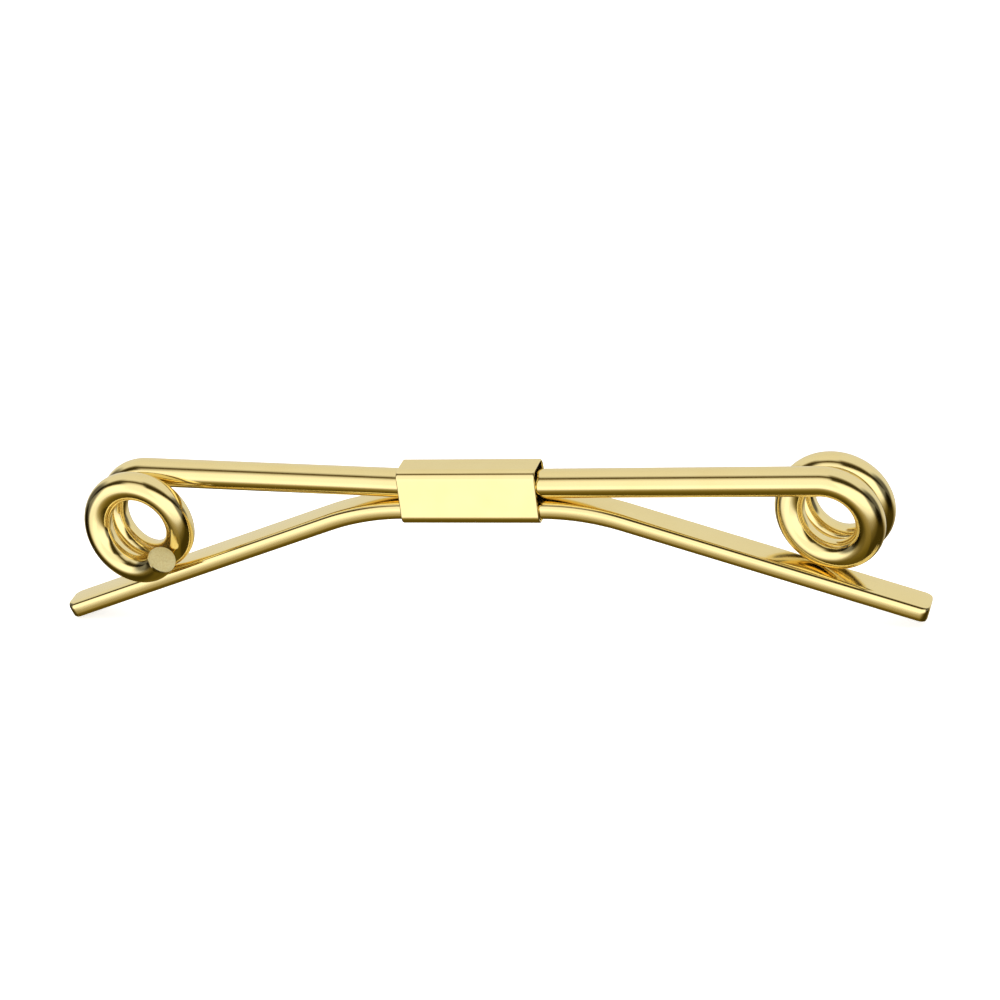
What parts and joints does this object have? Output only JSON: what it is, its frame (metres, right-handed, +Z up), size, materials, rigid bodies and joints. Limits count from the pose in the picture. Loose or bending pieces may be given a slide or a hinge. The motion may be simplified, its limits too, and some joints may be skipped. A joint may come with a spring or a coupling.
{
  "type": "collar bar",
  "caption": "Polished spring collar bar: a round wire with a coil at each end and a bent flat strip, held together by a crimped rectangular sleeve.",
  "frame": {"origin": "on the ground, below the middle of the overall length and of the width; the lower strip tip stands on the ground", "axes": "+X along the bar to its right end, +Y away from the bar's front, +Z up from the strip to the wire"},
  "size_m": [0.065, 0.0088, 0.0125],
  "materials": {
    "sleeve_metal": "polished gold plate",
    "wire_metal": "polished gold plate, with matte sheared ends",
    "strip_metal": "polished gold plate"
  },
  "bodies": {
    "bar": {"sleeve": "sleeve_metal", "spring_wire": "wire_metal", "strip_middle": "strip_metal"},
    "left_arm": {"strip_arm_left": "strip_metal"},
    "right_arm": {"strip_arm_right": "strip_metal"}
  },
  "joints": [
    {"name": "left_arm_flex", "type": "hinge", "parent": "bar", "child": "left_arm", "pos_m": [-0.00455, 0, 0.00852], "axis": [0, -1, 0], "range_deg": [0, 4], "stiffness_Nm_per_rad": 4.9, "springref_deg": -0.57},
    {"name": "right_arm_flex", "type": "hinge", "parent": "bar", "child": "right_arm", "pos_m": [0.00565, 0, 0.00852], "axis": [0, 1, 0], "range_deg": [0, 4], "stiffness_Nm_per_rad": 4.9, "springref_deg": -0.57}
  ]
}
